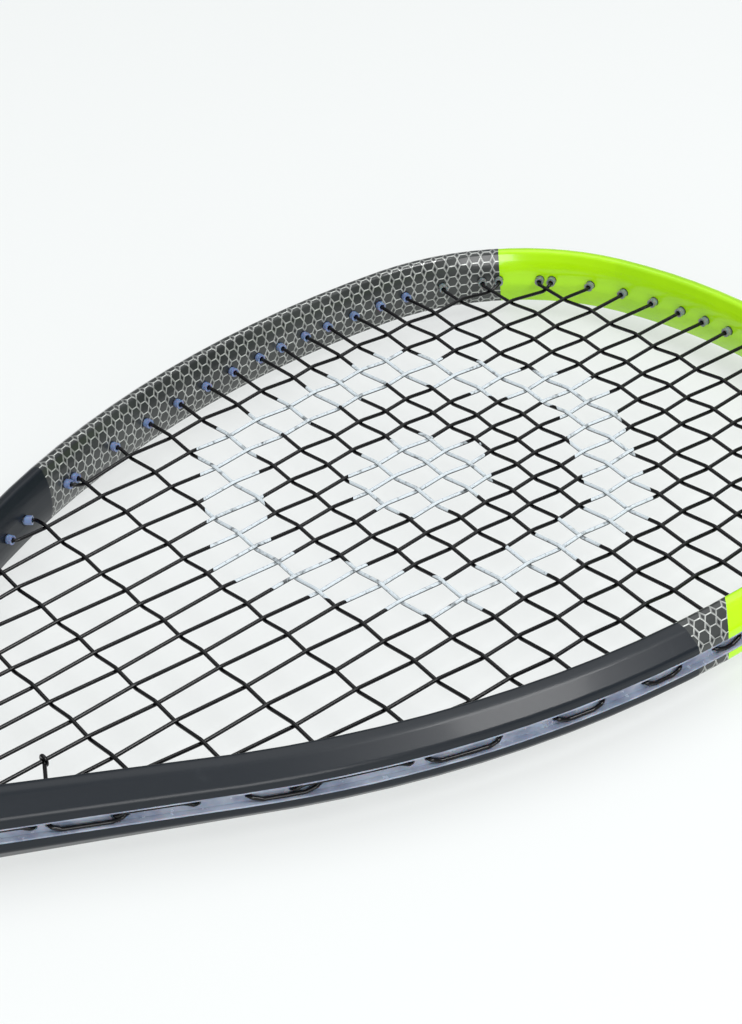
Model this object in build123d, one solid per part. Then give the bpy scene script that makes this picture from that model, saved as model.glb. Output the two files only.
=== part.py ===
from build123d import *
import math
import os

# Squash racket, millimetres.  +Y runs along the shaft from the butt to the crown,
# +Z is square to the string bed, X is across the head.  The racket lies flat with
# its lowest face on Z = 0 and is centred on X = 0 and Y = 0.

# ---- overall -------------------------------------------------------------------
TOTAL_LENGTH = 686.0
STRING_PLANE_Z = 15.2          # height of the string bed above the lowest face

# ---- hoop: inner face, as tangent arcs from the crown round to the straight arm --
CROWN_RADIUS = 158.0
CROWN_END = 18.0               # degrees from +Y where the crown arc ends
CORNER_RADIUS = 68.2
CORNER_END = 82.0
SIDE_RADIUS = 262.4
SIDE_END = 120.2               # the arms run straight from here
ARM_TAPER_LENGTH = 108.0
CROTCH_RADIUS = 8.0

# ---- hollow beam section: n is outwards from the inner face, z is the depth -----
BEAM_WIDTH = 9.4
BEAM_DEPTH = 18.4
THROAT_DEPTH = 23.6
WALL = 1.0
HOLE_RADIUS = 1.5
OUTER_CORNER = 4.4             # half height of the outer face
GROOVE_DEPTH = 2.8
GROOVE_HALF = 2.35

# ---- grommet strips and bumper ---------------------------------------------------
STRIP_BASE = 0.9
STRIP_HALF = 2.3
STRIP_WALL = 0.45
BARREL_RADIUS = 1.4
BARREL_BORE = 0.85
BARREL_PROUD = 2.0             # how far a barrel stands inside the hoop
BUMPER_PROUD = 1.2
BUMPER_HALF = 3.5

# ---- strings -----------------------------------------------------------------------
STRING_DIAMETER = 1.12
MAIN_X = [79.8, 67.4, 55.8, 44.5, 33.7, 23.5, 14.2, 4.8]      # mains 1 to 8, right half
MAIN_BOW = [2.7, 1.6, 0.5, 0, 0, 0, 0, 0]                     # pulled in by this at the ends
BOW_MIDDLE_Y = 228.0
BOW_REACH = 90.0
CROSS_Y = [80.8, 100.6, 121.4, 142.0, 159.3, 173.5, 186.3, 198.0, 208.8, 219.4,
           227.8, 237.3, 245.8, 255.8, 265.5, 274.6, 286.2, 297.1, 310.2]
THROAT_TIE_Y = 61.0            # hole of the last end, which runs back to its knot on main 6
THROAT_KNOT_Y = 67.3
THROAT_KNOT_RISE = 0.34         # main 6 is climbing here, on its way over the first cross
CROWN_TIE_Y = 270.0
MAIN_WAVE = 0.48               # how far a main lies off the plane at a crossing
CROSS_WAVE = 0.68
STRING_SETBACK = 3.1           # from the inner face to the bend at a barrel's mouth
LANE = 1.22                    # string loops lie this far either side of the holes
LANE_N = 8.3                   # loop centre line, out from the inner face
MAIN_LEAN = [0.8, -0.5, 2.2, 2.2, 0, 0, 0, 0]     # outer end of a throat hole, further down the arm
CROSS_LEAN = {0: 4.4, 1: -3.0, 2: 4.4}            # and of the lowest crosses' holes
EDGE_REACH = 3.6               # a crossing this close to a hole is lifted by one string only

# ---- shaft, handle and butt ----------------------------------------------------------
SHAFT_WIDTH = 20.0
SHAFT_DEPTH = 19.2
SHAFT_WALL = 1.2
HANDLE_TOP = -138.0
HANDLE_WIDTH = 27.0
HANDLE_DEPTH = 23.4
GRIP_THICK = 1.9
CAP_LENGTH = 17.0
CAP_WIDTH = 34.0
CAP_DEPTH = 30.4

STRING_RADIUS = STRING_DIAMETER / 2
CROWN_INNER_Y = TOTAL_LENGTH / 2 - BEAM_WIDTH - BUMPER_PROUD
BUTT_Y = -TOTAL_LENGTH / 2
UP = Vector(0, 0, 1)


# ---- the hoop's line -----------------------------------------------------------------
def normal(phi):
    """Outward direction at an angle measured from +Y towards +X."""
    return Vector(math.sin(math.radians(phi)), math.cos(math.radians(phi)), 0)


def along(phi):
    """Direction of travel, from the crown towards the throat on the +X side."""
    return Vector(math.cos(math.radians(phi)), -math.sin(math.radians(phi)), 0)


def hoop_arcs():
    """(centre, radius, start, end) of each arc of the right half."""
    arcs = []
    point = Vector(0, CROWN_INNER_Y, 0)
    start = 0.0
    for radius, end in ((CROWN_RADIUS, CROWN_END), (CORNER_RADIUS, CORNER_END), (SIDE_RADIUS, SIDE_END)):
        centre = point - normal(start) * radius
        arcs.append((centre, radius, start, end))
        point = centre + normal(end) * radius
        start = end
    return arcs


ARCS = hoop_arcs()
ARM_START = ARCS[-1][0] + normal(SIDE_END) * SIDE_RADIUS
ARM_DIR = along(SIDE_END)
ARC_LENGTHS = [math.radians(end - start) * radius for _, radius, start, end in ARCS]
HOOP_LENGTH = sum(ARC_LENGTHS)


def station(s, n=0.0, z=0.0):
    """Point s along the right half's inner face from the crown, n outwards, z up."""
    for (centre, radius, start, end), length in zip(ARCS, ARC_LENGTHS):
        if s <= length:
            phi = start + math.degrees(s / radius)
            return centre + normal(phi) * (radius + n) + UP * z
        s -= length
    return ARM_START + ARM_DIR * s + normal(SIDE_END) * n + UP * z


def heading(s):
    """Outward angle at s along the right half."""
    for (_, radius, start, _), length in zip(ARCS, ARC_LENGTHS):
        if s <= length:
            return start + math.degrees(s / radius)
        s -= length
    return SIDE_END


def solve(measure, target, low, high):
    """The s between low and high where a falling or rising measure meets the target."""
    rising = measure(high) > measure(low)
    for _ in range(60):
        middle = (low + high) / 2
        if (measure(middle) < target) == rising:
            low = middle
        else:
            high = middle
    return (low + high) / 2


WIDEST = solve(heading, 90.0, 0, HOOP_LENGTH)
ARM_END = HOOP_LENGTH + (ARM_START.X - 2) / -ARM_DIR.X


def at_y(y):
    """s of the hole whose string bend lies at this y."""
    return solve(lambda s: station(s, -STRING_SETBACK).Y, y, 0, ARM_END)


def main_x(index, y):
    """x of a main at y: the outer mains bow in towards their ends."""
    return MAIN_X[index] - MAIN_BOW[index] * ((y - BOW_MIDDLE_Y) / BOW_REACH) ** 2


def main_hole_at(index, crown):
    """s of the hole where a main's string bend lies, at the crown or on the arm."""
    def excess(s):
        point = station(s, -STRING_SETBACK)
        return point.X - main_x(index, point.Y)

    span = (0, WIDEST) if crown else (WIDEST, ARM_END)
    return solve(excess, 0.0, *span)


def mirror_side(point, side):
    return Vector(point.X * side, point.Y, point.Z)


# ---- holes: s along the hoop for every string ------------------------------------------
CROWN_HOLES = [main_hole_at(index, True) for index in range(8)]
THROAT_HOLES = [main_hole_at(index, False) for index in range(8)]
CROSS_HOLES = [at_y(y) for y in CROSS_Y]
THROAT_TIE = at_y(THROAT_TIE_Y)
CROWN_TIE = at_y(CROWN_TIE_Y)
LEAN = dict(zip(THROAT_HOLES, MAIN_LEAN))
LEAN.update({CROSS_HOLES[index]: lean for index, lean in CROSS_LEAN.items()})
STRIP_JOIN = (CROSS_HOLES[15] + CROSS_HOLES[16]) / 2
STRIP_END = THROAT_HOLES[7] + 7.0


def side_holes(side):
    ties = [THROAT_TIE, CROWN_TIE] if side > 0 else []
    return sorted(CROWN_HOLES + THROAT_HOLES + CROSS_HOLES + ties)


# ---- building along the hoop -------------------------------------------------------------
def section_plane(s, n=0.0):
    """Plane across the hoop: local x outwards, local y up."""
    phi = heading(s)
    return Plane(origin=station(s, n), x_dir=normal(phi), z_dir=along(phi))


def follow(section, s_from, s_to):
    """The section carried round the arcs and down the arm, from s_from to s_to."""
    pieces = []
    s = 0.0
    for (centre, radius, start, _), length in zip(ARCS, ARC_LENGTHS):
        low = max(s, s_from)
        high = min(s + length, s_to)
        if high - low > 1e-6:
            end_phi = start + math.degrees((high - s) / radius)
            place = Plane(origin=centre + normal(end_phi) * radius, x_dir=normal(end_phi),
                          z_dir=along(end_phi))
            turn = math.degrees((high - low) / radius)
            pieces.append(revolve(place * section, Axis(centre, UP), turn))
        s += length
    if s_to > s:
        low = max(s, s_from)
        place = section_plane(low + 1e-9 if low > s else s + 1e-9)
        pieces.append(extrude(place * section, s_to - low))
    return pieces


def joined(pieces):
    body = pieces[0]
    if len(pieces) > 1:
        body = body.fuse(*pieces[1:])
    return body


def outer_s(s):
    """s where the hole that starts at s on the inner face reaches the channel."""
    return s + LEAN.get(s, 0.0)


def rod(s, n_from, n_to, radius, side):
    """Cylinder along the hole at s, between two depths into the beam."""
    mouth = mirror_side(station(s, -STRING_SETBACK), side)
    inside = mirror_side(station(outer_s(s), LANE_N), side)
    axis = (inside - mouth) / (LANE_N + STRING_SETBACK)
    start = mouth + axis * (n_from + STRING_SETBACK)
    length = axis.length * (n_to - n_from)
    return extrude(Plane(origin=start, z_dir=axis.normalized()) * Circle(radius), length)


# ---- frame ---------------------------------------------------------------------------------
def closed_outline(points, radii):
    return make_face(FilletPolyline(*points, radius=radii, close=True))


def beam_outline(depth):
    """Six-sided beam with a rounded crest, narrower at the outer face."""
    extra = (depth - BEAM_DEPTH) / 2
    half = depth / 2
    corners = [(0, 4.2 + extra / 2, 12.0), (1.9, half, 1.5), (4.7, half, 4.0 - extra * 0.6),
               (BEAM_WIDTH, OUTER_CORNER + extra / 2, 2.0)]
    points = [(n, z) for n, z, _ in corners] + [(n, -z) for n, z, _ in reversed(corners)]
    radii = [r for _, _, r in corners] + [r for _, _, r in reversed(corners)]
    return closed_outline(points, radii)


def beam_cavity(depth):
    """Hollow of the beam, which wraps round the groove."""
    extra = (depth - BEAM_DEPTH) / 2
    half = depth / 2 - 1.2 * WALL
    groove_floor = BEAM_WIDTH - GROOVE_DEPTH - WALL
    lip = GROOVE_HALF + WALL
    points = [(WALL, 3.7 + extra / 2), (2.5, half), (4.6, half), (7.6, 4.6 + extra / 2), (7.6, lip + 0.2),
              (groove_floor, lip)]
    points += [(n, -z) for n, z in reversed(points)]
    radii = [0.8, 0.8, 0.8, 0.5, 0.3, 0.3]
    return closed_outline(points, radii + radii[::-1])


def groove(reach=0.0):
    centre = BEAM_WIDTH - GROOVE_DEPTH / 2 + reach / 2
    return Pos(centre, 0) * Rectangle(GROOVE_DEPTH + reach, GROOVE_HALF * 2)


def half_hoop():
    """Right half of the hollow hoop and its arm, up to the mirror plane."""
    tube = beam_outline(BEAM_DEPTH) - beam_cavity(BEAM_DEPTH) - groove(2)
    pieces = follow(tube, 0, HOOP_LENGTH)
    top = section_plane(HOOP_LENGTH + 1e-9)
    bottom = section_plane(HOOP_LENGTH + ARM_TAPER_LENGTH)
    outer = loft([top * beam_outline(BEAM_DEPTH), bottom * beam_outline(THROAT_DEPTH)], ruled=True)
    inner = loft([top * beam_cavity(BEAM_DEPTH), bottom * beam_cavity(THROAT_DEPTH)], ruled=True)
    pieces.append(outer - inner)
    heel = extrude(bottom * beam_outline(THROAT_DEPTH), 45)
    right_side = Pos(100, 0, 0) * Box(200, 800, 60)
    pieces.append(heel & right_side)
    return joined(pieces)


def rounded_bar(width, depth, radius, y):
    face = RectangleRounded(width, depth, radius)
    return Plane(origin=(0, y, 0), x_dir=(1, 0, 0), z_dir=(0, -1, 0)) * face


def crotch_cut():
    """The round-bottomed opening where the arms meet."""
    centre_y = inner_apex_y() + CROTCH_RADIUS / math.sin(math.radians(SIDE_END - 90))
    tangent = Vector(0, centre_y, 0) + normal(SIDE_END) * CROTCH_RADIUS
    high = tangent - ARM_DIR * 14
    outline = Polyline((-tangent.X, tangent.Y), (-high.X, high.Y), (high.X, high.Y),
                       (tangent.X, tangent.Y), close=True)
    wedge = extrude(make_face(outline), 30, both=True)
    return wedge + Pos(0, centre_y, 0) * Cylinder(CROTCH_RADIUS, 60)


def inner_apex_y():
    """Where the two arms' inner faces would meet."""
    return ARM_START.Y + ARM_DIR.Y * ARM_START.X / -ARM_DIR.X


def throat_and_shaft():
    """Moulded throat that blends the arms into the hollow shaft."""
    throat = loft([rounded_bar(31, 15, 5, 0.5), rounded_bar(25.5, 20.6, 6.5, -14),
                   rounded_bar(SHAFT_WIDTH, SHAFT_DEPTH, 6, -48)])
    shaft_end = BUTT_Y + 6
    shaft = extrude(rounded_bar(SHAFT_WIDTH, SHAFT_DEPTH, 6, -48), -48 - shaft_end)
    bore = extrude(rounded_bar(SHAFT_WIDTH - 2 * SHAFT_WALL, SHAFT_DEPTH - 2 * SHAFT_WALL, 4.6, -30),
                   -30 - shaft_end)
    return throat + shaft - bore


def build_frame():
    right = half_hoop()
    body = right.fuse(mirror(right, Plane.YZ), throat_and_shaft())
    cutters = [crotch_cut()]
    for side in (1, -1):
        channel = extrude(section_plane(HOOP_LENGTH + 1e-9) * groove(3), STRIP_END + 0.3 - HOOP_LENGTH)
        cutters.append(channel if side > 0 else mirror(channel, Plane.YZ))
        for s in side_holes(side):
            cutters.append(rod(s, -1.0, BEAM_WIDTH - GROOVE_DEPTH + 0.5, HOLE_RADIUS, side))
    return body.cut(*cutters)


# ---- grommet strips --------------------------------------------------------------------------
def strip_section(lip=False):
    """U channel that carries the string loops, with lips over the frame on the bumper."""
    floor = BEAM_WIDTH - GROOVE_DEPTH
    inner = STRIP_HALF - STRIP_WALL
    top = BEAM_WIDTH - 0.1
    half = [(floor, 0), (floor, STRIP_HALF), (top, STRIP_HALF), (top, inner), (floor + STRIP_BASE, inner),
            (floor + STRIP_BASE, 0)]
    if lip:
        over = BEAM_WIDTH + 0.05
        out = BEAM_WIDTH + BUMPER_PROUD
        half = [(floor, 0), (floor, STRIP_HALF), (over, STRIP_HALF), (over, BUMPER_HALF),
                (out - 0.5, BUMPER_HALF), (out, BUMPER_HALF - 0.6), (out, inner + 0.2), (out - 0.2, inner),
                (floor + STRIP_BASE, inner), (floor + STRIP_BASE, 0)]
    other = [(n, -z) for n, z in reversed(half[1:-1])]
    return make_face(Polyline(*half, *other, close=True))


def with_barrels(body, holes):
    """Adds a barrel for every (s, side) and opens its bore."""
    floor = BEAM_WIDTH - GROOVE_DEPTH
    barrels = [rod(s, -BARREL_PROUD, floor + 0.2, BARREL_RADIUS, side) for s, side in holes]
    bores = [rod(s, -BARREL_PROUD - 1, floor + 2, BARREL_BORE, side) for s, side in holes]
    return body.fuse(*barrels).cut(*bores)


def build_side_strip(side):
    body = joined(follow(strip_section(), STRIP_JOIN + 0.25, STRIP_END))
    if side < 0:
        body = mirror(body, Plane.YZ)
    holes = [(s, side) for s in side_holes(side) if s > STRIP_JOIN]
    return with_barrels(body, holes)


def build_bumper():
    right = joined(follow(strip_section(lip=True), 0, STRIP_JOIN - 0.25))
    body = right.fuse(mirror(right, Plane.YZ))
    holes = [(s, side) for side in (1, -1) for s in side_holes(side) if s < STRIP_JOIN]
    return with_barrels(body, holes)


# ---- strings -----------------------------------------------------------------------------------
BARREL_BEND = 1.7
EXIT_BEND = 1.3
LANE_BEND = 3.0
MAIN_BEND = 10.0
CROSS_BEND = 5.0
SMOOTH = 1000.0                # bends on a round stretch are as large as their runs allow
LANE_LEAD = 3.0                # a loop reaches its lane this far from the hole
LANE_STEP = 6.0
KNOT_RING = STRING_DIAMETER + 0.12
KNOT_CLEARANCE = 0.2           # the string's end is cut at a slant, so it stops short of the knot


def wave_height(lift, run, bend):
    """Corner height that leaves the rounded string this far off the plane."""
    height = lift
    for _ in range(20):
        slope = math.atan(2 * height / run)
        height = lift + bend * (1 / math.cos(slope) - 1)
    return height


def loop_points(s_a, s_b, side_a, side_b, lane):
    """Corners of the loop in the channel between two holes."""
    u_a = outer_s(s_a) * side_a
    u_b = outer_s(s_b) * side_b
    step = math.copysign(1, u_b - u_a)

    def place(u, z):
        return mirror_side(station(abs(u), LANE_N, z), 1 if u >= 0 else -1)

    corners = [(place(u_a, 0), EXIT_BEND), (place(u_a + step * LANE_LEAD, lane), LANE_BEND)]
    first = u_a + step * LANE_LEAD
    last = u_b - step * LANE_LEAD
    curved = abs(first) < HOOP_LENGTH and abs(last) < HOOP_LENGTH + LANE_STEP
    count = int(abs(last - first) / LANE_STEP) if curved else 0
    for k in range(1, count + 1):
        u = first + (last - first) * k / (count + 1)
        corners.append((place(u, lane), SMOOTH))
    corners += [(place(last, lane), LANE_BEND), (place(u_b, 0), EXIT_BEND)]
    return corners


def bend_at(s, side):
    """Corner just inside a barrel's mouth."""
    return (mirror_side(station(s, -STRING_SETBACK), side), BARREL_BEND)


def main_index(m):
    """Mains are numbered 1 to 16 from +X to -X; the halves mirror each other."""
    return m - 1 if m <= 8 else 16 - m


def main_signed_x(m, y):
    return main_x(main_index(m), y) * (1 if m <= 8 else -1)


def above(m, c):
    """+1 where main m passes over cross c, else -1."""
    return 1 if (m + c) % 2 == 0 else -1


def lifts(m, c):
    """(main, cross) distances off the plane where they meet, or None where they don't."""
    y = CROSS_Y[c]
    index = main_index(m)
    ends = [station(holes[index], -STRING_SETBACK).Y for holes in (THROAT_HOLES, CROWN_HOLES)]
    to_main_end = min(y - ends[0], ends[1] - y)
    to_cross_end = station(CROSS_HOLES[c], -STRING_SETBACK).X - main_x(index, y)
    if to_main_end < 0 or to_cross_end < 0:
        return None
    if to_cross_end < EDGE_REACH:
        return MAIN_WAVE + CROSS_WAVE, 0
    if to_main_end < EDGE_REACH:
        return 0, MAIN_WAVE + CROSS_WAVE
    return MAIN_WAVE, CROSS_WAVE


def main_run(m, downwards):
    """Corners of main m where it meets each cross."""
    run = (CROSS_Y[-1] - CROSS_Y[0]) / (len(CROSS_Y) - 1)
    corners = []
    for c, y in enumerate(CROSS_Y):
        lift = lifts(m, c)
        if lift and lift[0]:
            height = wave_height(lift[0], run, MAIN_BEND) * above(m, c)
            corners.append((Vector(main_signed_x(m, y), y, height), MAIN_BEND))
    return corners[::-1] if downwards else corners


def cross_run(c, rightwards):
    """Corners of cross c where it meets each main."""
    y = CROSS_Y[c]
    run = 2 * MAIN_X[0] / 15
    corners = []
    for m in range(1, 17):
        lift = lifts(m, c)
        if lift and lift[1]:
            height = -wave_height(lift[1], run, CROSS_BEND) * above(m, c)
            corners.append((Vector(main_signed_x(m, y), y, height), CROSS_BEND))
    return corners[::-1] if rightwards else corners


def main_hole(m, crown):
    return (CROWN_HOLES if crown else THROAT_HOLES)[main_index(m)], 1 if m <= 8 else -1


def string_route():
    """Every corner of the one length of string, from the crown tie to the throat tie."""
    knot_gap = KNOT_RING + STRING_RADIUS + KNOT_CLEARANCE
    tie = bend_at(CROWN_TIE, 1)
    route = [(Vector(main_x(0, CROWN_TIE_Y) + knot_gap, CROWN_TIE_Y, 0), 0), tie]
    hole = (CROWN_TIE, 1)
    for m in range(1, 17):
        downwards = m % 2 == 1
        start = main_hole(m, downwards)
        end = main_hole(m, not downwards)
        route += loop_points(hole[0], start[0], hole[1], start[1], LANE)
        route += [bend_at(*start)] + main_run(m, downwards) + [bend_at(*end)]
        hole = end
    for step, c in enumerate(range(len(CROSS_Y) - 1, -1, -1)):
        rightwards = step % 2 == 0
        start = (CROSS_HOLES[c], -1 if rightwards else 1)
        end = (CROSS_HOLES[c], 1 if rightwards else -1)
        route += loop_points(hole[0], start[0], hole[1], start[1], -LANE)
        route += [bend_at(*start)] + cross_run(c, rightwards) + [bend_at(*end)]
        hole = end
    route += loop_points(hole[0], THROAT_TIE, hole[1], 1, -LANE)
    over_main_5 = wave_height(STRING_DIAMETER + 0.06, 12, CROSS_BEND)
    knot = Vector(MAIN_X[5], THROAT_KNOT_Y, THROAT_KNOT_RISE)
    hole = bend_at(THROAT_TIE, 1)
    towards = (hole[0] - knot).normalized()
    crossing = knot + towards * ((MAIN_X[4] - MAIN_X[5]) / towards.X)
    route += [hole, (crossing + UP * over_main_5, CROSS_BEND), (knot + towards * knot_gap, 0)]
    return route


def rounded_path(route):
    """Edges of the route with every corner rounded by a tangent arc."""
    edges = []
    here = route[0][0]
    for (before, _), (corner, wish), (after, _) in zip(route, route[1:], route[2:]):
        a = (before - corner).normalized()
        b = (after - corner).normalized()
        turn = math.pi - math.acos(max(-1.0, min(1.0, a.dot(b))))
        if turn < 1e-4:
            continue
        reach = 0.45 * min((before - corner).length, (after - corner).length)
        radius = min(wish, reach / math.tan(turn / 2))
        setback = radius * math.tan(turn / 2)
        start = corner + a * setback
        end = corner + b * setback
        bisector = (a + b).normalized()
        middle = corner + bisector * (radius / math.cos(turn / 2) - radius)
        edges.append(Edge.make_line(here, start))
        edges.append(Edge.make_three_point_arc(start, middle, end))
        here = end
    edges.append(Edge.make_line(here, route[-1][0]))
    return edges


def tube(edges, radius):
    start = edges[0] @ 0
    direction = edges[0] % 0
    profile = Plane(origin=start, z_dir=direction) * Circle(radius)
    return sweep(profile, path=Wire(edges))


def build_string():
    edges = rounded_path(string_route())
    length = sum(edge.length for edge in edges)
    body = tube(edges, STRING_RADIUS)
    expected = math.pi * STRING_RADIUS ** 2 * length
    print(f"string: {length:.0f} mm long, {len(edges)} runs, volume / (section x length) ="
          f" {body.volume / expected:.4f}")
    return body


def build_knots():
    """The turn of string round main 1 at the crown tie and main 6 at the throat tie."""
    ring = Rot(90, 0, 0) * Torus(KNOT_RING, STRING_RADIUS)
    places = ((main_x(0, CROWN_TIE_Y), CROWN_TIE_Y, 0), (MAIN_X[5], THROAT_KNOT_Y, THROAT_KNOT_RISE))
    return [Pos(*place) * ring for place in places]


# ---- handle ------------------------------------------------------------------------------------------
def bar(width, depth, radius, y_top, y_bottom):
    return extrude(rounded_bar(width, depth, radius, y_top), y_top - y_bottom)


CAP_Y = BUTT_Y + CAP_LENGTH
PALLET_END = BUTT_Y + 6
GRIP_WIDTH = HANDLE_WIDTH + 2 * GRIP_THICK
GRIP_DEPTH = HANDLE_DEPTH + 2 * GRIP_THICK
COLLAR_TOP = HANDLE_TOP + 5
COLLAR_BOTTOM = HANDLE_TOP - 9
TAPE_BOTTOM = HANDLE_TOP - 20
ADHESIVE = 0.15
STAPLE_X = 12.0
STAPLE_SPAN = 9.0
STAPLE_WIRE = 0.4
STAPLE_SINK = 0.6              # how far the staple's back lies below the butt face
STAPLE_LEG = 9.0


def staple_leg_holes(radius):
    return [extrude(Plane(origin=(x, BUTT_Y + STAPLE_SINK, z), z_dir=(0, 1, 0)) * Circle(radius), STAPLE_LEG)
            for x in (-STAPLE_X, STAPLE_X) for z in (-STAPLE_SPAN / 2, STAPLE_SPAN / 2)]


def build_pallet():
    """Foam handle moulded round the shaft, pierced by the staples at its end."""
    body = bar(HANDLE_WIDTH, HANDLE_DEPTH, 8, HANDLE_TOP, PALLET_END)
    body -= bar(SHAFT_WIDTH + 0.04, SHAFT_DEPTH + 0.04, 6, HANDLE_TOP + 1, PALLET_END - 1)
    return body.cut(*staple_leg_holes(STAPLE_WIRE + 0.03))


def build_adhesive():
    """Double-sided tape between the foam and the grip."""
    outer = 2 * ADHESIVE
    body = bar(HANDLE_WIDTH + outer, HANDLE_DEPTH + outer, 8.1, HANDLE_TOP - 1.5, CAP_Y)
    return body - bar(HANDLE_WIDTH + 0.02, HANDLE_DEPTH + 0.02, 8, HANDLE_TOP + 1, CAP_Y - 1)


def build_grip():
    inner = 2 * ADHESIVE + 0.04
    body = bar(GRIP_WIDTH, GRIP_DEPTH, 9.4, HANDLE_TOP - 1.5, CAP_Y)
    return body - bar(HANDLE_WIDTH + inner, HANDLE_DEPTH + inner, 8.1, HANDLE_TOP + 1, CAP_Y - 1)


def build_tape():
    """Band of finishing tape round the top of the grip."""
    body = bar(GRIP_WIDTH + 0.6, GRIP_DEPTH + 0.6, 9.7, COLLAR_BOTTOM - 0.1, TAPE_BOTTOM)
    return body - bar(GRIP_WIDTH + 0.04, GRIP_DEPTH + 0.04, 9.4, HANDLE_TOP + 1, TAPE_BOTTOM - 1)


def build_collar():
    """Rubber sleeve that closes the top of the grip onto the shaft."""
    sleeve = bar(GRIP_WIDTH + 2.4, GRIP_DEPTH + 2.4, 10.6, HANDLE_TOP - 1.4, COLLAR_BOTTOM)
    cone = loft([rounded_bar(GRIP_WIDTH + 2.4, GRIP_DEPTH + 2.4, 10.6, HANDLE_TOP - 1.4),
                 rounded_bar(SHAFT_WIDTH + 3.4, SHAFT_DEPTH + 3.4, 7.5, COLLAR_TOP)])
    body = sleeve + cone
    body -= bar(GRIP_WIDTH + 0.04, GRIP_DEPTH + 0.04, 9.4, HANDLE_TOP - 1.46, COLLAR_BOTTOM - 1)
    body -= bar(HANDLE_WIDTH + 0.06, HANDLE_DEPTH + 0.06, 8, HANDLE_TOP + 0.04, COLLAR_BOTTOM)
    body -= bar(SHAFT_WIDTH + 0.06, SHAFT_DEPTH + 0.06, 6, COLLAR_TOP + 1, HANDLE_TOP - 1)
    return body


def build_butt_cap():
    """Flared cup over the end of the handle, with a round recess for the badge."""
    face = fillet(bar(CAP_WIDTH, CAP_DEPTH, 11, CAP_Y, BUTT_Y).faces().sort_by(Axis.Y)[0].edges(), 2.6)
    cup = face - bar(HANDLE_WIDTH + 0.05, HANDLE_DEPTH + 0.05, 8, CAP_Y + 1, BUTT_Y + 6)
    recess = Plane(origin=(0, BUTT_Y - 1, 0), z_dir=(0, 1, 0)) * Circle(9)
    cup -= extrude(recess, 2.2)
    slot_depth = STAPLE_SINK + STAPLE_WIRE * 2 + 0.05
    slots = [Pos(x, BUTT_Y + slot_depth / 2, 0) * Box(STAPLE_WIRE * 2 + 0.1, slot_depth, STAPLE_SPAN + 0.9)
             for x in (-STAPLE_X, STAPLE_X)]
    return cup.cut(*slots, *staple_leg_holes(STAPLE_WIRE + 0.03))


def build_staples():
    """Two wire staples that hold the cap to the foam."""
    back = BUTT_Y + STAPLE_SINK + STAPLE_WIRE
    tip = BUTT_Y + STAPLE_SINK + STAPLE_LEG - 0.2
    half = STAPLE_SPAN / 2
    staples = []
    for x in (-STAPLE_X, STAPLE_X):
        path = FilletPolyline((x, tip, -half), (x, back, -half), (x, back, half), (x, tip, half), radius=0.42)
        profile = Plane(origin=(x, tip, -half), z_dir=(0, -1, 0)) * Circle(STAPLE_WIRE)
        staples.append(sweep(profile, path=path))
    return staples


def build_badge():
    """Blank disc that closes the recess in the butt."""
    disc = extrude(Plane(origin=(0, BUTT_Y + 0.2, 0), z_dir=(0, 1, 0)) * Circle(8.9), 0.95)
    return chamfer(disc.faces().sort_by(Axis.Y)[0].edges(), 0.3)


def write(node, body):
    """Lifts the body so the racket stands on Z = 0 and writes it."""
    solids = body if isinstance(body, list) else [body]
    lifted = [Pos(0, 0, STRING_PLANE_Z) * solid for solid in solids]
    shape = lifted[0] if len(lifted) == 1 else Compound(children=lifted)
    export_step(shape, os.path.join("parts", node + ".step"))
    print(node, "done")


if __name__ == "__main__":
    os.makedirs("parts", exist_ok=True)
    write("frame", build_frame())
    write("bumper", build_bumper())
    write("grommet_strip_right", build_side_strip(1))
    write("grommet_strip_left", build_side_strip(-1))
    write("string_knots", build_knots())
    write("string", build_string())
    write("handle_pallet", build_pallet())
    write("grip_adhesive", build_adhesive())
    write("grip_wrap", build_grip())
    write("finishing_tape", build_tape())
    write("grip_collar", build_collar())
    write("butt_cap", build_butt_cap())
    write("butt_badge", build_badge())
    write("butt_staples", build_staples())
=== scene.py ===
import math

import bpy
from mathutils import Matrix, Vector


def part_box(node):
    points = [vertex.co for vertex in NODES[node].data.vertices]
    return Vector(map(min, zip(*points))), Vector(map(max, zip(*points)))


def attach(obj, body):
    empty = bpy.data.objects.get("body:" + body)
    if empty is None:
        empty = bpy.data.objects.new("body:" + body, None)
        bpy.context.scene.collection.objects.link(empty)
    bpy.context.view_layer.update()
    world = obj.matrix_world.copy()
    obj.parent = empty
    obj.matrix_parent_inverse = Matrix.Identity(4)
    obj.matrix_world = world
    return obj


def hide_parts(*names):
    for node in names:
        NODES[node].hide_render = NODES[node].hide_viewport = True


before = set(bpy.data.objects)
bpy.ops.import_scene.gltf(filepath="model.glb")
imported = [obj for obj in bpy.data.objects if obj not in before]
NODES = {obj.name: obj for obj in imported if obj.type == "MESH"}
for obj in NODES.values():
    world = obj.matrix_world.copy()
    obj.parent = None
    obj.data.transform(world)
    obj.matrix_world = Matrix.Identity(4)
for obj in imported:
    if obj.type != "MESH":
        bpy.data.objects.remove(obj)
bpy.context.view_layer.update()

DEGREE = math.pi / 180

# ---- the hoop's inner face as the CAD has it, in metres: three arcs, then a straight arm ----
STRING_Z = 0.0152
CROWN_INNER_Y = 0.3324
ARCS = ((0.158, 18.0), (0.0682, 82.0), (0.2624, 120.2))       # radius, end angle from +Y
BEAM_WIDTH = 0.0094
OUTER_TOP = 0.0044             # half height of the outer face
OUTER_FACE = 0.0003            # how deep the outer face counts as reaching into the beam
CREST_HEIGHT = 0.0092
CREST_START = 0.0019           # the crest lies between these, then the outer bevel begins
CREST_END = 0.0047
BEVEL_SLOPE = 1.43             # bevel length for each step outwards

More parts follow.
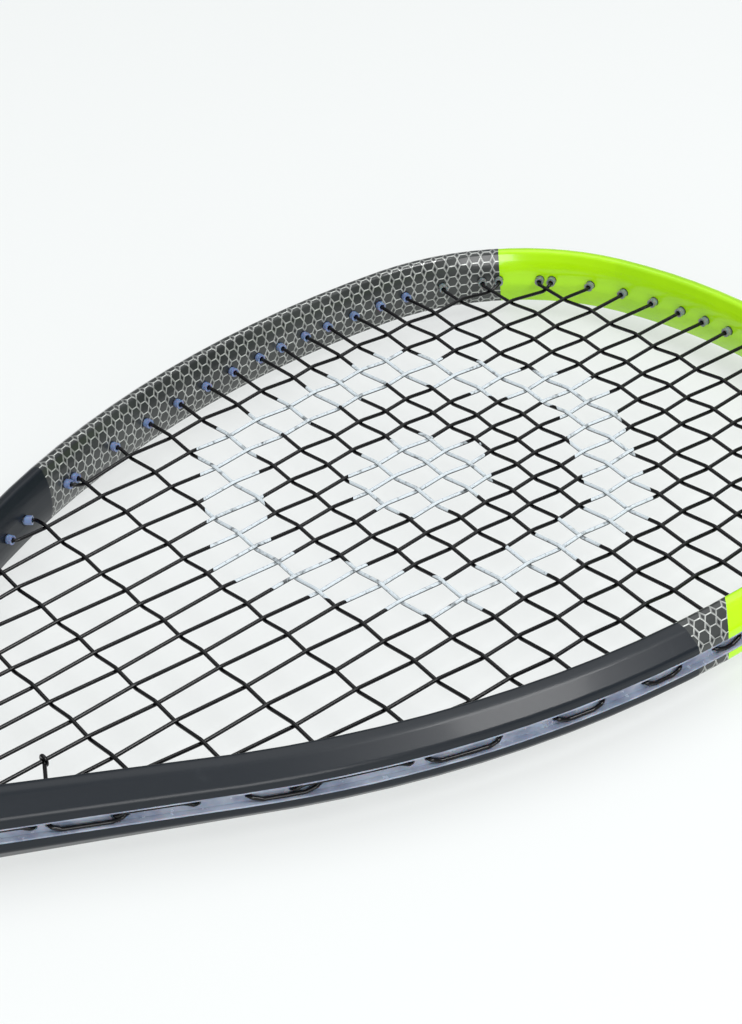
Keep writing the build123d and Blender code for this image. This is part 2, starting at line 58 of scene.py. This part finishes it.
CAMERA_PLACE = (0.46150, -0.12694, 0.40573)
CAMERA_RIGHT = (0.60903, 0.78890, -0.08195)
CAMERA_UP = (-0.41001, 0.40159, 0.81891)
CAMERA_BACK = (0.67895, -0.46514, 0.56804)
CAMERA_LENS = 85.89            # millimetres, on the sensor's width below
CAMERA_SENSOR = 36.0
CAMERA_REACH = 20.0


def place_camera():
    """Looks down across the head from beside the throat."""
    data = bpy.data.cameras.new("camera")
    data.sensor_width = CAMERA_SENSOR
    data.lens = CAMERA_LENS
    data.clip_end = CAMERA_REACH
    camera = bpy.data.objects.new("camera", data)
    turn = Matrix((CAMERA_RIGHT, CAMERA_UP, CAMERA_BACK)).transposed()
    camera.matrix_world = Matrix.Translation(CAMERA_PLACE) @ turn.to_4x4()
    bpy.context.scene.collection.objects.link(camera)
    bpy.context.scene.camera = camera


# ---- a short way to write node trees --------------------------------------------------------
class Tree:
    """Builds one material. Values are numbers or sockets, and maths on them makes nodes."""

    def __init__(self, name):
        self.material = bpy.data.materials.new(name)
        self.material.use_nodes = True
        self.nodes = self.material.node_tree.nodes
        self.links = self.material.node_tree.links
        self.shader = self.nodes["Principled BSDF"]

    def node(self, kind, **settings):
        made = self.nodes.new("ShaderNode" + kind)
        for key, value in settings.items():
            setattr(made, key, value)
        return made

    def feed(self, socket, value):
        if isinstance(value, bpy.types.NodeSocket):
            self.links.new(value, socket)
        else:
            socket.default_value = value

    def math(self, operation, *values):
        made = self.node("Math", operation=operation)
        for socket, value in zip(made.inputs, values):
            self.feed(socket, value)
        return made.outputs[0]

    def add(self, a, b):
        return self.math("ADD", a, b)

    def sub(self, a, b):
        return self.math("SUBTRACT", a, b)

    def mul(self, a, b):
        return self.math("MULTIPLY", a, b)

    def less(self, a, b):
        return self.math("LESS_THAN", a, b)

    def pick(self, test, yes, no):
        """yes where test is 1, no where it is 0."""
        return self.add(self.mul(test, yes), self.mul(self.sub(1.0, test), no))

    def ramp(self, value, low, high):
        """0 at low, 1 at high, eased at both ends."""
        made = self.node("MapRange", interpolation_type="SMOOTHSTEP")
        self.feed(made.inputs["Value"], value)
        made.inputs["From Min"].default_value = low
        made.inputs["From Max"].default_value = high
        return made.outputs["Result"]

    def position(self):
        return self.node("TexCoord").outputs["Object"]

    def split(self, vector):
        """The sockets of x, y and z."""
        made = self.node("SeparateXYZ")
        self.feed(made.inputs[0], vector)
        return tuple(made.outputs)

    def noise(self, vector, scale, detail=2.0, rough=0.5):
        made = self.node("TexNoise")
        self.feed(made.inputs["Vector"], vector)
        made.inputs["Scale"].default_value = scale
        made.inputs["Detail"].default_value = detail
        made.inputs["Roughness"].default_value = rough
        return made.outputs["Fac"]

    def mix(self, factor, first, second):
        made = self.node("Mix", data_type="RGBA")
        self.feed(made.inputs["Factor"], factor)
        self.feed(made.inputs["A"], first)
        self.feed(made.inputs["B"], second)
        return made.outputs["Result"]

    def bump(self, height, distance, strength=1.0, normal=None):
        made = self.node("Bump")
        made.inputs["Strength"].default_value = strength
        made.inputs["Distance"].default_value = distance
        self.feed(made.inputs["Height"], height)
        if normal is not None:
            self.feed(made.inputs["Normal"], normal)
        return made.outputs["Normal"]

    def set(self, **values):
        """Feeds the shader's own sockets, named with underscores for spaces."""
        for key, value in values.items():
            self.feed(self.shader.inputs[key.replace("_", " ")], value)

    def folded(self, value, period):
        """Distance to the middle of the period that the value falls in."""
        within = self.math("FLOORED_MODULO", value, period)
        return self.math("ABSOLUTE", self.sub(within, period / 2))

    def tiles(self, u, v, width):
        """Hexagons that touch corner to corner, with diamonds left between their rows.

        Gives how far outside the nearest outline a point is, and 1 beside an outline's flat side.
        """
        height = width * math.sqrt(3) / 2
        a = self.folded(u, width)
        b = self.folded(v, height)
        slant = self.add(self.mul(a, math.sqrt(3) / 2), self.mul(b, 0.5))
        return self.sub(self.math("MAXIMUM", b, slant), height / 2), self.less(slant, b)


def rgb(r, g, b):
    """A display colour, 0 to 255, as the linear colour a shader takes."""
    def linear(value):
        value /= 255
        return value / 12.92 if value <= 0.04045 else ((value + 0.055) / 1.055) ** 2.4

    return linear(r), linear(g), linear(b), 1.0


def hoop_coordinates(tree, position):
    """(x, s along the hoop from the crown, n outwards, z from the string plane)."""
    x, y, z = tree.split(position)
    side_x = tree.math("ABSOLUTE", x)
    angle = 0.0
    centre = Vector((0.0, CROWN_INNER_Y))
    point = Vector((0.0, CROWN_INNER_Y))
    done = 0.0
    stretches = []
    for radius, end in ARCS:
        outward = Vector((math.sin(angle * DEGREE), math.cos(angle * DEGREE)))
        centre = point - outward * radius
        dx = tree.sub(side_x, centre.x)
        dy = tree.sub(y, centre.y)
        turned = tree.mul(tree.math("ARCTAN2", dx, dy), 1 / DEGREE)
        s = tree.add(tree.mul(tree.sub(turned, angle), radius * DEGREE), done)
        gone = tree.math("SQRT", tree.add(tree.mul(dx, dx), tree.mul(dy, dy)))
        stretches.append((tree.less(turned, end), s, tree.sub(gone, radius)))
        done += (end - angle) * DEGREE * radius
        angle = end
        point = centre + Vector((math.sin(end * DEGREE), math.cos(end * DEGREE))) * radius
    dx = tree.sub(side_x, point.x)
    dy = tree.sub(y, point.y)
    sine, cosine = math.sin(angle * DEGREE), math.cos(angle * DEGREE)
    s = tree.add(tree.sub(tree.mul(dx, cosine), tree.mul(dy, sine)), done)
    n = tree.add(tree.mul(dx, sine), tree.mul(dy, cosine))
    above = tree.less(point.y, y)      # below the arcs' end there is only the straight arm
    for test, arc_s, arc_n in reversed(stretches):
        s = tree.pick(tree.mul(test, above), arc_s, s)
        n = tree.pick(tree.mul(test, above), arc_n, n)
    return x, s, n, tree.sub(z, STRING_Z)


def round_section(tree, n, z):
    """Distance round the beam from the middle of its inner face, up over the crest and down."""
    height = tree.math("ABSOLUTE", z)
    bevel_start = CREST_HEIGHT + CREST_END - CREST_START
    bevel_end = bevel_start + (BEAM_WIDTH - CREST_END) * BEVEL_SLOPE
    crest = tree.add(n, CREST_HEIGHT - CREST_START)
    bevel = tree.add(tree.mul(tree.sub(n, CREST_END), BEVEL_SLOPE), bevel_start)
    down = tree.sub(bevel_end + OUTER_TOP, height)
    outside = tree.pick(tree.less(n, BEAM_WIDTH - OUTER_FACE), bevel, down)
    upper = tree.pick(tree.less(n, CREST_END), crest, outside)
    rise = tree.pick(tree.less(n, CREST_START), height, upper)
    return tree.mul(rise, tree.math("SIGN", z))


# ---- materials ------------------------------------------------------------------------------
LIME = rgb(172, 228, 3)
LIME_DEEP = rgb(160, 219, 2)
GRAPHITE = rgb(26, 29, 30)
GRAPHITE_LIGHT = rgb(54, 57, 56)
CELL_WALL = rgb(214, 217, 213)
SATIN_BLACK = rgb(11, 19, 27)
SATIN_BLACK_WORN = rgb(24, 32, 40)

FAR_LIME_END = 0.0880          # along the hoop from the crown, on the -X side
FAR_CELLS_END = 0.2670
NEAR_LIME_END = 0.1660         # and on the +X side, where the edges slant across the beam
NEAR_LIME_SLANT = 0.72
NEAR_CELLS_END = 0.1845
NEAR_CELLS_SLANT = -0.25
CELL_WIDTH = 0.00372
# on the -X side and on the +X side
CELL_SHEAR = (0.058, -0.118)   # each row is moved along the hoop by this much of its height
CELL_SCALE = (1.0, 1.028)
CELL_SQUASH = (0.933, 0.948)
CELL_START = (-0.00111, 0.00166)
ROW_START = (0.00054, -0.00152)
LINE_HALF = 0.00014            # half width of a cell's outline, at the middle of its soft edge
LINE_EDGES = (0.55, 1.45)      # the soft edge starts and ends at these times the half width
LINE_SHINE = 0.34              # least strength of an outline
FLAT_SHINE = 0.30              # more where it is a hexagon's flat side
WORN_SHINE = 0.34              # and more where it isn't worn
DIAMOND_RISE = 0.0001          # a faint tone inside the diamonds begins over this distance
DIAMOND_FALL = (0.00024, 0.00046)
DIAMOND_TONE = 0.30
GLOSS_ROUGH = 0.20
CELLS_ROUGH = 0.26
SATIN_ROUGH = 0.34
COAT_SATIN = 0.10
COAT_GLOSS = 0.45


def paint_material():
    """Lacquer in three zones: lime crown, silvery hexagons on graphite, satin black."""
    t = Tree("frame_lacquer")
    position = t.position()
    x, s, n, z = hoop_coordinates(t, position)
    far = t.less(x, 0.0)
    lime_end = t.pick(far, FAR_LIME_END, t.add(NEAR_LIME_END, t.mul(n, NEAR_LIME_SLANT)))
    cells_end = t.pick(far, FAR_CELLS_END, t.add(NEAR_CELLS_END, t.mul(n, NEAR_CELLS_SLANT)))
    lime = t.less(s, lime_end)
    black = t.less(cells_end, s)

    round_beam = round_section(t, n, z)
    across = t.add(t.mul(round_beam, t.pick(far, *CELL_SQUASH)), t.pick(far, *ROW_START))
    sheared = t.add(s, t.mul(round_beam, t.pick(far, *CELL_SHEAR)))
    along = t.add(t.mul(sheared, t.pick(far, *CELL_SCALE)), t.pick(far, *CELL_START))
    outside, flat = t.tiles(along, across, CELL_WIDTH)
    wall = t.math("ABSOLUTE", outside)
    line_start, line_end = (LINE_HALF * edge for edge in LINE_EDGES)
    line = t.sub(1.0, t.ramp(wall, line_start, line_end))
    beyond = t.sub(1.0, t.ramp(outside, *DIAMOND_FALL))
    faint = t.mul(t.mul(t.ramp(outside, 0.0, DIAMOND_RISE), beyond), DIAMOND_TONE)
    line_wear = t.ramp(t.noise(position, 420.0, 3.0), 0.34, 0.66)
    drift = t.ramp(t.noise(position, 38.0, 2.0), 0.3, 0.7)
    inside = t.less(outside, 0.0)
    ground = t.mix(t.mul(inside, t.add(0.35, t.mul(drift, 0.65))), GRAPHITE, GRAPHITE_LIGHT)
    shine = t.add(t.add(LINE_SHINE, t.mul(flat, FLAT_SHINE)), t.mul(line_wear, WORN_SHINE))
    foil = t.math("MAXIMUM", t.mul(line, shine), faint)
    cells = t.mix(foil, ground, CELL_WALL)

    edge_wear = t.mul(t.ramp(t.noise(position, 150.0, 5.0, 0.62), 0.60, 0.74), 0.35)
    satin = t.mix(edge_wear, SATIN_BLACK, SATIN_BLACK_WORN)
    green = t.mix(drift, LIME, LIME_DEEP)
    colour = t.mix(lime, t.mix(black, cells, satin), green)

    flake = t.noise(position, 5200.0, 1.0)
    peel = t.noise(position, 260.0, 2.0)
    rough_cells = t.add(CELLS_ROUGH, t.mul(flake, 0.10))
    rough_black = t.add(SATIN_ROUGH, t.add(t.mul(flake, 0.07), t.mul(edge_wear, 0.25)))
    rough = t.pick(lime, GLOSS_ROUGH, t.pick(black, rough_black, rough_cells))
    metal = t.mul(t.sub(1.0, lime), t.pick(black, 0.0, t.mul(line, 0.4)))

    raised = t.mul(line, t.mul(t.sub(1.0, lime), t.sub(1.0, black)))
    grain = t.bump(flake, 0.000012, 0.6)
    skin = t.bump(peel, 0.00006, 0.25, grain)
    t.set(Base_Color=colour, Roughness=rough, Metallic=metal,
          Normal=t.bump(raised, 0.00006, 0.7, skin))
    t.set(Coat_Weight=t.pick(black, COAT_SATIN, COAT_GLOSS), Coat_Roughness=0.09,
          Specular_IOR_Level=0.32)
    return t.material


PAINTED_SHADE_START = -0.0008          # painted shade: a barrel darkens from here to the inner face, as if in the shade of its hole
BARREL_TOP = 0.0010            # the strip's colour comes in between these
STRIP_START = 0.0040
# the colour of the painted shade at a barrel's root
BARREL_PAINTED_SHADE = rgb(26, 30, 38)
SCUFF = rgb(214, 218, 226)


def grommet_material(name, barrel, strip_dark, strip_light):
    """Smoky translucent nylon, a little cloudy: tinted barrels with painted shade towards their
    roots, and a paler strip.
    """
    t = Tree(name)
    position = t.position()
    _, _, n, _ = hoop_coordinates(t, position)
    cloud = t.ramp(t.noise(position, 120.0, 3.0), 0.3, 0.7)
    scuff = t.ramp(t.noise(position, 300.0, 4.0, 0.6), 0.55, 0.80)
    strip = t.mix(cloud, strip_dark, strip_light)
    # painted shade: each barrel darkens towards the frame's inner face, standing in for the
    # shadow of its hole
    painted_shade_ramp = t.ramp(n, PAINTED_SHADE_START, 0.0)
    barrel_with_painted_shade = t.mix(painted_shade_ramp, barrel, BARREL_PAINTED_SHADE)
    colour = t.mix(t.ramp(n, BARREL_TOP, STRIP_START), barrel_with_painted_shade, strip)
    colour = t.mix(t.mul(scuff, 0.15), colour, SCUFF)
    t.set(Base_Color=colour, Roughness=t.add(0.20, t.mul(scuff, 0.25)), Transmission_Weight=0.22,
          Subsurface_Weight=0.25, Subsurface_Scale=0.002, IOR=1.5,
          Normal=t.bump(cloud, 0.00005, 0.3))
    return t.material


# A plain ring of six sides, with a smaller hexagon inside it, is stencilled on the strings.
STENCIL_CENTRE = (-0.010, 0.2140)
STENCIL_OUTER = 0.062
STENCIL_WIDTH = 0.017
STENCIL_CORE = 0.020
STENCIL_INK = rgb(196, 205, 210)
STRING_BLACK = rgb(5, 5, 7)
STRING_DUST = rgb(18, 19, 22)


def hexagon_reach(t, x, y):
    """How far (x, y) is from the stencil's middle, measured square to the nearest side."""
    a = t.math("ABSOLUTE", t.sub(x, STENCIL_CENTRE[0]))
    b = t.math("ABSOLUTE", t.sub(y, STENCIL_CENTRE[1]))
    return t.math("MAXIMUM", a, t.add(t.mul(a, 0.5), t.mul(b, math.sqrt(3) / 2)))


def string_material():
    """Black multifilament with a smooth coat, and pale stencil ink on its upper side."""
    t = Tree("string_filament")
    position = t.position()
    x, y, _ = t.split(position)
    reach = hexagon_reach(t, x, y)
    ring = t.mul(t.less(reach, STENCIL_OUTER), t.less(STENCIL_OUTER - STENCIL_WIDTH, reach))
    shape = t.math("MAXIMUM", ring, t.less(reach, STENCIL_CORE))
    facing = t.split(t.node("NewGeometry").outputs["Normal"])[2]
    upper = t.ramp(facing, -0.15, 0.35)
    patchy = t.ramp(t.noise(position, 260.0, 4.0, 0.6), 0.26, 0.46)
    chipped = t.add(0.6, t.mul(t.ramp(t.noise(position, 1300.0, 2.0), 0.30, 0.42), 0.4))
    ink = t.mul(t.mul(shape, upper), t.mul(patchy, chipped))

    strands = t.noise(position, 3600.0, 2.0)
    dust = t.ramp(t.noise(position, 240.0, 3.0), 0.45, 0.8)
    black = t.mix(t.mul(dust, 0.3), STRING_BLACK, STRING_DUST)
    colour = t.mix(ink, black, STENCIL_INK)
    rough = t.add(0.16, t.add(t.mul(ink, 0.44), t.mul(strands, 0.08)))
    t.set(Base_Color=colour, Roughness=rough, Specular_IOR_Level=0.30,
          Normal=t.bump(strands, 0.00003, 0.4))
    return t.material


def foam_material():
    """Pale foam with open pores."""
    t = Tree("moulded_foam")
    position = t.position()
    pores = t.noise(position, 1400.0, 3.0)
    t.set(Base_Color=t.mix(pores, rgb(150, 146, 132), rgb(178, 174, 160)), Roughness=0.85,
          Normal=t.bump(pores, 0.00012, 0.6))
    return t.material


def adhesive_material():
    """Cream cloth tape."""
    t = Tree("adhesive_tape")
    position = t.position()
    cloth = t.noise(position, 800.0, 2.0)
    t.set(Base_Color=t.mix(cloth, rgb(214, 208, 190), rgb(228, 224, 208)), Roughness=0.6,
          Normal=t.bump(cloth, 0.00004, 0.5))
    return t.material


def grip_material():
    """Black polyurethane leather: fine pebbling, worn shinier where the hand holds it."""
    t = Tree("grip_leather")
    position = t.position()
    cells = t.node("TexVoronoi", feature="DISTANCE_TO_EDGE")
    t.feed(cells.inputs["Vector"], position)
    cells.inputs["Scale"].default_value = 1300.0
    pebble = t.ramp(cells.outputs["Distance"], 0.0, 0.25)
    worn = t.ramp(t.noise(position, 45.0, 3.0), 0.42, 0.7)
    colour = t.mix(t.mul(worn, 0.6), rgb(30, 30, 32), rgb(50, 50, 53))
    t.set(Base_Color=colour, Roughness=t.sub(0.72, t.mul(worn, 0.16)),
          Normal=t.bump(pebble, 0.00009, 0.7))
    return t.material


def moulded_material(name, dark, light, rough, grain_scale, depth):
    """Moulded rubber or plastic with an etched grain and faint handling marks."""
    t = Tree(name)
    position = t.position()
    grain = t.noise(position, grain_scale, 3.0)
    marks = t.ramp(t.noise(position, 60.0, 5.0, 0.6), 0.5, 0.75)
    t.set(Base_Color=t.mix(t.add(t.mul(grain, 0.4), t.mul(marks, 0.4)), dark, light),
          Roughness=t.add(rough, t.mul(marks, 0.12)), Normal=t.bump(grain, depth, 0.6))
    return t.material


def steel_material():
    """Bright drawn wire."""
    t = Tree("drawn_wire")
    position = t.position()
    drawn = t.noise(position, 2600.0, 2.0)
    t.set(Base_Color=t.mix(drawn, rgb(168, 168, 164), rgb(196, 196, 192)), Metallic=1.0,
          Roughness=t.add(0.26, t.mul(drawn, 0.14)))
    return t.material


BADGE_RING_PITCH = 0.0006
BADGE_RIM = (0.0074, 0.0077)
BADGE_EDGE = rgb(34, 36, 38)


def badge_material():
    """Blank lime disc under a clear dome, with a fine turned ring pattern."""
    t = Tree("butt_badge_lacquer")
    position = t.position()
    x, _, z = t.split(position)
    dz = t.sub(z, STRING_Z)
    radius = t.math("SQRT", t.add(t.mul(x, x), t.mul(dz, dz)))
    rings = t.math("SINE", t.mul(radius, 2 * math.pi / BADGE_RING_PITCH))
    rim = t.ramp(radius, *BADGE_RIM)
    t.set(Base_Color=t.mix(rim, LIME, BADGE_EDGE), Roughness=0.24, Coat_Weight=0.8,
          Coat_Roughness=0.06, Normal=t.bump(rings, 0.00003, 0.5))
    return t.material


def paint_node(name, material):
    """Puts a material on a CAD node."""
    mesh = NODES[name].data
    mesh.materials.clear()
    mesh.materials.append(material)


# ---- the wound grip -------------------------------------------------------------------------
GRIP_TURN = 0.021              # one turn of the strip moves this far along the handle
GRIP_LIP = 0.0009              # the step where each turn laps the last
GRIP_CORNER = 0.0094
GRIP_THICKNESS = 0.0007
SEAM_MIDDLE = 0.06             # in turns after each lap
SEAM_HALF = 0.05
SEAM_DEPTH = 0.0004
LAP_END = 0.11                 # the step has died away this far into the turn
LAP_SHARE = 0.55               # how much of the lip the step takes up
STRIP_CROWN = 0.00022          # the strip's edges lie this much lower than its middle
ROUND_STEPS = 176
LONG_STEPS = 420


def grip_profile(half_width, half_depth, corner, turn):
    """Point and outward direction on a rounded rectangle at turn 0 to 1, by arc length."""
    flat_w = 2 * (half_width - corner)
    flat_d = 2 * (half_depth - corner)
    arc = math.pi / 2 * corner
    goes = turn % 1.0 * (2 * flat_w + 2 * flat_d + 4 * arc)
    corners = ((1, 1), (-1, 1), (-1, -1), (1, -1))
    angle = 0.0
    for k, (sx, sz) in enumerate(corners):
        flat = flat_d if k % 2 == 0 else flat_w
        cx, cz = sx * (half_width - corner), sz * (half_depth - corner)
        direction = Vector((math.cos(angle), 0, math.sin(angle)))
        travel = Vector((-math.sin(angle), 0, math.cos(angle)))
        if goes <= flat:
            return Vector((cx, 0, cz)) + direction * corner - travel * (flat - goes), direction
        goes -= flat
        if goes <= arc:
            swung = angle + goes / corner
            direction = Vector((math.cos(swung), 0, math.sin(swung)))
            return Vector((cx, 0, cz)) + direction * corner, direction
        goes -= arc
        angle += math.pi / 2
    # rounding can leave the last point a hair past the end, which is the start
    return grip_profile(half_width, half_depth, corner, 0.0)


def smooth_step(value):
    """0 to 1, eased at both ends."""
    value = max(0.0, min(1.0, value))
    return value * value * (3 - 2 * value)


def grip_sink(along, turn):
    """How far the wound strip's surface lies below the sleeve, which makes the lap seams."""
    phase = (along / GRIP_TURN + turn) % 1.0
    seam = smooth_step(1 - abs(phase - SEAM_MIDDLE) / SEAM_HALF) if phase < LAP_END else 0.0
    rise = GRIP_LIP * LAP_SHARE * smooth_step((LAP_END - phase) / LAP_END)
    crown = STRIP_CROWN * (2 * phase - 1) ** 2
    return min(GRIP_LIP, rise + crown + SEAM_DEPTH * seam)


def build_grip():
    """The handle's wound strip as one skin, seams spiralling down it."""
    low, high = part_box("grip_wrap")
    half_width, half_depth = (high.x - low.x) / 2, (high.z - low.z) / 2
    length = high.y - low.y
    vertices = []
    for row in range(LONG_STEPS + 1):
        along = length * row / LONG_STEPS
        for step in range(ROUND_STEPS):
            turn = step / ROUND_STEPS
            point, outward = grip_profile(half_width, half_depth, GRIP_CORNER, turn)
            point = point - outward * grip_sink(along, turn)
            vertices.append((point.x, low.y + along, point.z + STRING_Z))
    faces = []
    for row in range(LONG_STEPS):
        for step in range(ROUND_STEPS):
            a = row * ROUND_STEPS + step
            b = row * ROUND_STEPS + (step + 1) % ROUND_STEPS
            faces.append((a, a + ROUND_STEPS, b + ROUND_STEPS, b))
    mesh = bpy.data.meshes.new("grip_wound")
    mesh.from_pydata(vertices, [], faces)
    mesh.update()
    grip = bpy.data.objects.new("grip_wound", mesh)
    bpy.context.scene.collection.objects.link(grip)
    for polygon in mesh.polygons:
        polygon.use_smooth = True
    shell = grip.modifiers.new("thickness", "SOLIDIFY")
    shell.thickness = GRIP_THICKNESS
    shell.offset = -1.0
    mesh.materials.append(grip_material())
    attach(grip, "root")
    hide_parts("grip_wrap")


# ---- stage ----------------------------------------------------------------------------------
# name, place, what it points at, width, watts
LIGHTS = (("overhead", (-0.2, 0.5, 1.9), (0, 0.1, 0), 2.2, 15),
          ("bevel", (1.04, 0.40, 1.26), (0.08, 0.12, 0), 0.62, 15),
          ("fill", (1.5, -0.8, 0.5), (0, 0.2, 0), 0.9, 14))
FLOOR_SIZE = 80
FLOOR_DROP = 0.0002
FLOOR_GLOW = 0.57              # the floor is a lit table, so it holds hardly any shadow
# how far up a direction points, and the sky's strength there
SKY_LEVELS = (("From Min", 0.05), ("From Max", 0.85), ("To Min", 0.14), ("To Max", 0.66))


def build_floor():
    """A pale lit table a little below the racket."""
    bpy.ops.mesh.primitive_plane_add(size=FLOOR_SIZE, location=(0, 0, -FLOOR_DROP))
    floor = bpy.context.object
    floor.name = "floor"
    t = Tree("studio_floor")
    tone = t.noise(t.position(), 3.0, 2.0)
    t.set(Base_Color=t.mix(tone, rgb(148, 150, 150), rgb(152, 154, 154)), Roughness=0.9,
          Specular_IOR_Level=0.0, Emission_Color=(0.98, 1.0, 0.99, 1),
          Emission_Strength=FLOOR_GLOW)
    floor.data.materials.append(t.material)


def build_sky():
    """Soft light that is strongest from above and falls away towards the horizon."""
    world = bpy.context.scene.world or bpy.data.worlds.new("world")
    bpy.context.scene.world = world
    world.use_nodes = True
    nodes, links = world.node_tree.nodes, world.node_tree.links
    direction = nodes.new("ShaderNodeTexCoord")
    height = nodes.new("ShaderNodeSeparateXYZ")
    links.new(direction.outputs["Generated"], height.inputs[0])
    strength = nodes.new("ShaderNodeMapRange")
    links.new(height.outputs[2], strength.inputs["Value"])
    for key, value in SKY_LEVELS:
        strength.inputs[key].default_value = value
    background = nodes["Background"]
    background.inputs[0].default_value = (0.95, 0.98, 1.0, 1)
    links.new(strength.outputs["Result"], background.inputs[1])


def build_lights():
    """Three soft discs."""
    for name, place, aim, size, power in LIGHTS:
        data = bpy.data.lights.new(name, "AREA")
        data.shape = "DISK"
        data.size = size
        data.energy = power
        light = bpy.data.objects.new(name, data)
        light.location = place
        light.rotation_euler = (Vector(aim) - Vector(place)).to_track_quat("-Z", "Y").to_euler()
        bpy.context.scene.collection.objects.link(light)


# name, barrel, and the strip's dark and light tone
SIDE_NYLON = ("smoke_nylon", rgb(116, 136, 178), rgb(128, 138, 160), rgb(176, 184, 200))
CROWN_NYLON = ("grey_nylon", rgb(124, 134, 134), rgb(92, 98, 104), rgb(130, 136, 140))
# node, material, dark and light tone, roughness, grain scale and depth
MOULDED = (
    ("finishing_tape", "vinyl_tape", rgb(22, 22, 24), rgb(40, 40, 43), 0.30, 900.0, 0.00003),
    ("grip_collar", "collar_rubber", rgb(20, 20, 21), rgb(40, 40, 41), 0.62, 1600.0, 0.00008),
    ("butt_cap", "cap_moulding", rgb(24, 24, 26), rgb(44, 44, 46), 0.48, 1900.0, 0.00006),
)

bpy.context.scene.view_settings.view_transform = "Standard"
place_camera()
side_nylon = grommet_material(*SIDE_NYLON)
crown_nylon = grommet_material(*CROWN_NYLON)
string = string_material()
paint_node("frame", paint_material())
paint_node("bumper", crown_nylon)
for name in ("grommet_strip_right", "grommet_strip_left"):
    paint_node(name, side_nylon)
for name in ("string", "string_knots"):
    paint_node(name, string)
paint_node("handle_pallet", foam_material())
paint_node("grip_adhesive", adhesive_material())
for name, *finish in MOULDED:
    paint_node(name, moulded_material(*finish))
paint_node("butt_badge", badge_material())
paint_node("butt_staples", steel_material())
build_grip()
build_floor()
build_sky()
build_lights()
